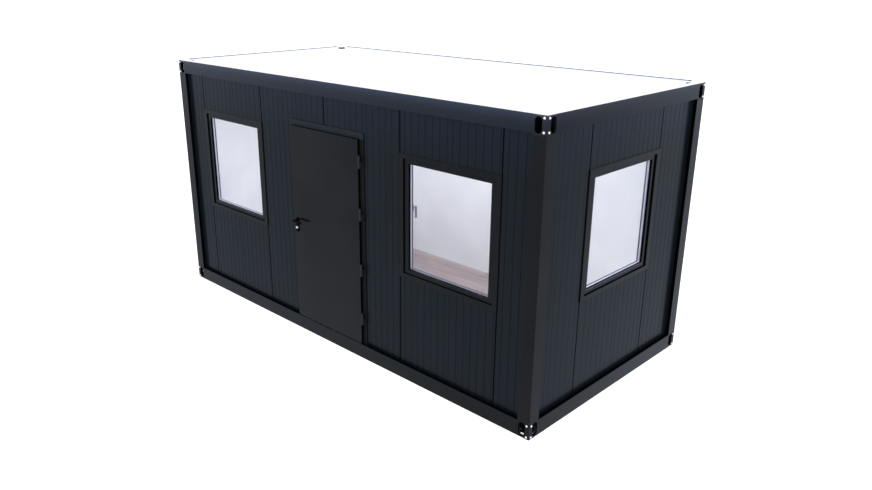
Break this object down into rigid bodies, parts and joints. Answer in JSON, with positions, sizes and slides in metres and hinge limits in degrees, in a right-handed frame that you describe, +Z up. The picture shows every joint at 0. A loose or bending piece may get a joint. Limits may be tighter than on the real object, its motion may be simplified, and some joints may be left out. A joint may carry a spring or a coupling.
{
  "type": "office container",
  "caption": "Dark steel-framed office container with ribbed sandwich walls, a white roof, square windows and an outward-opening door.",
  "frame": {"origin": "centre of the four anchor holes on the ground, at the middle of the footprint", "axes": "+X along the long side towards the window end, +Y from the door side to the back, +Z up"},
  "size_m": [5, 2.451, 2.6],
  "materials": {
    "frame_paint": "satin charcoal powder coat",
    "panel_skin": "satin bluish anthracite coil coat outside, white inside",
    "roof_white": "matt white coil coat",
    "lining_white": "matt white lining",
    "sash_white": "white window profile",
    "window_glass": "clear double glazing",
    "floor_laminate": "greyed wood laminate",
    "zinc_steel": "galvanised steel",
    "lock_metal": "bright nickel",
    "handle_grey": "satin grey",
    "handle_black": "black moulded plastic on steel"
  },
  "bodies": {
    "cabin": {"bottom_rail_front": "frame_paint", "bottom_rail_right": "frame_paint", "bottom_rail_back": "frame_paint", "bottom_rail_left": "frame_paint", "top_rail_front": "frame_paint", "top_rail_right": "frame_paint", "top_rail_back": "frame_paint", "top_rail_left": "frame_paint", "post_front_left": "frame_paint", "post_front_right": "frame_paint", "post_back_right": "frame_paint", "post_back_left": "frame_paint", "bottom_corner_blocks": "frame_paint", "top_corner_blocks": "frame_paint", "front_left_window_frame": "frame_paint", "front_right_window_frame": "frame_paint", "right_window_frame": "frame_paint", "door_frame": "frame_paint", "door_frame_hinges": "frame_paint", "front_panel_left": "panel_skin", "front_left_window_panels": "panel_skin", "front_panel_door_left": "panel_skin", "front_panels_over_door": "panel_skin", "front_panel_door_right": "panel_skin", "front_right_window_panels": "panel_skin", "front_panel_right": "panel_skin", "right_panel_front": "panel_skin", "right_window_panels": "panel_skin", "right_panel_back": "panel_skin", "back_wall": "panel_skin", "left_wall": "panel_skin", "corner_caps": "roof_white", "roof_flashing": "roof_white", "roof_panel": "roof_white", "ceiling": "lining_white", "front_left_window_sash": "sash_white", "front_right_window_sash": "sash_white", "right_window_sash": "sash_white", "front_left_window_glass": "window_glass", "front_right_window_glass": "window_glass", "right_window_glass": "window_glass", "floor_deck": "floor_laminate", "floor_joists": "zinc_steel", "door_sill": "zinc_steel", "window_handles": "handle_grey"},
    "door": {"door_leaf": "frame_paint", "door_leaf_hinges": "frame_paint", "door_handle_plates": "handle_black", "door_lock": "lock_metal"},
    "lever": {"door_lever": "handle_black"}
  },
  "joints": [
    {"name": "door_swing", "type": "hinge", "parent": "cabin", "child": "door", "pos_m": [0.516, -1.194, 1.1], "axis": [0, 0, 1], "range_deg": [0, 110]},
    {"name": "lever_turn", "type": "hinge", "parent": "door", "child": "lever", "pos_m": [-0.432, -1.17, 1.19], "axis": [0, 1, 0], "range_deg": [0, 40], "stiffness_Nm_per_rad": 2, "springref_deg": -22.92}
  ]
}
